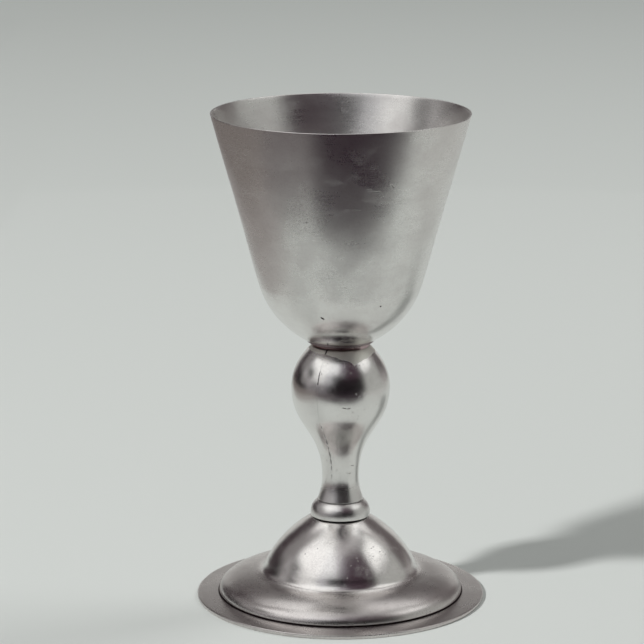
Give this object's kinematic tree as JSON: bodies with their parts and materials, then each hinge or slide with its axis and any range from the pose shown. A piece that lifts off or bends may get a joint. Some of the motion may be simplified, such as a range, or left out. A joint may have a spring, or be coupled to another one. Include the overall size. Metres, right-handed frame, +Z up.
{
  "type": "communion chalice",
  "caption": "Pewter communion chalice: flaring cup, ball-knopped baluster stem, cushion collar and domed foot with a flat flange, held together by a tie rod and a nut under the foot.",
  "frame": {"origin": "middle of the underside of the foot, on the surface that the chalice stands on", "axes": "+Z up along the turning axis to the rim; -Y is the side that faces the viewer in the picture, +X to the viewer's right"},
  "size_m": [0.1266, 0.1266, 0.216],
  "materials": {
    "satin_pewter": "satin pewter with fine turning lines, light scratches and a dull grey patina",
    "polished_pewter": "pewter polished brighter by handling, with fine pits and a dark bloom in the hollows",
    "dark_pewter": "unpolished pewter darkened with age",
    "brass": "aged dull brass"
  },
  "bodies": {
    "chalice": {"bowl": "satin_pewter", "bowl_plate": "dark_pewter", "neck_ring": "satin_pewter", "stem_left_half": "polished_pewter", "stem_right_half": "polished_pewter", "collar": "polished_pewter", "foot_dome": "polished_pewter", "foot_flange": "satin_pewter", "tie_rod": "brass"},
    "washer": {"foot_washer": "brass"},
    "nut": {"foot_nut": "brass"}
  },
  "joints": [
    {"name": "nut_travel", "type": "slide", "parent": "chalice", "child": "washer", "axis": [0, 0, -1], "range_m": [0, 0.01016]},
    {"name": "nut_turn", "type": "hinge", "parent": "washer", "child": "nut", "pos_m": [0, 0, 0.032], "axis": [0, 0, -1], "range_deg": [0, 2880]}
  ],
  "couplings": [
    {"joint": "nut_travel", "follows": "nut_turn", "m_per_rad": 0.00020212}
  ]
}
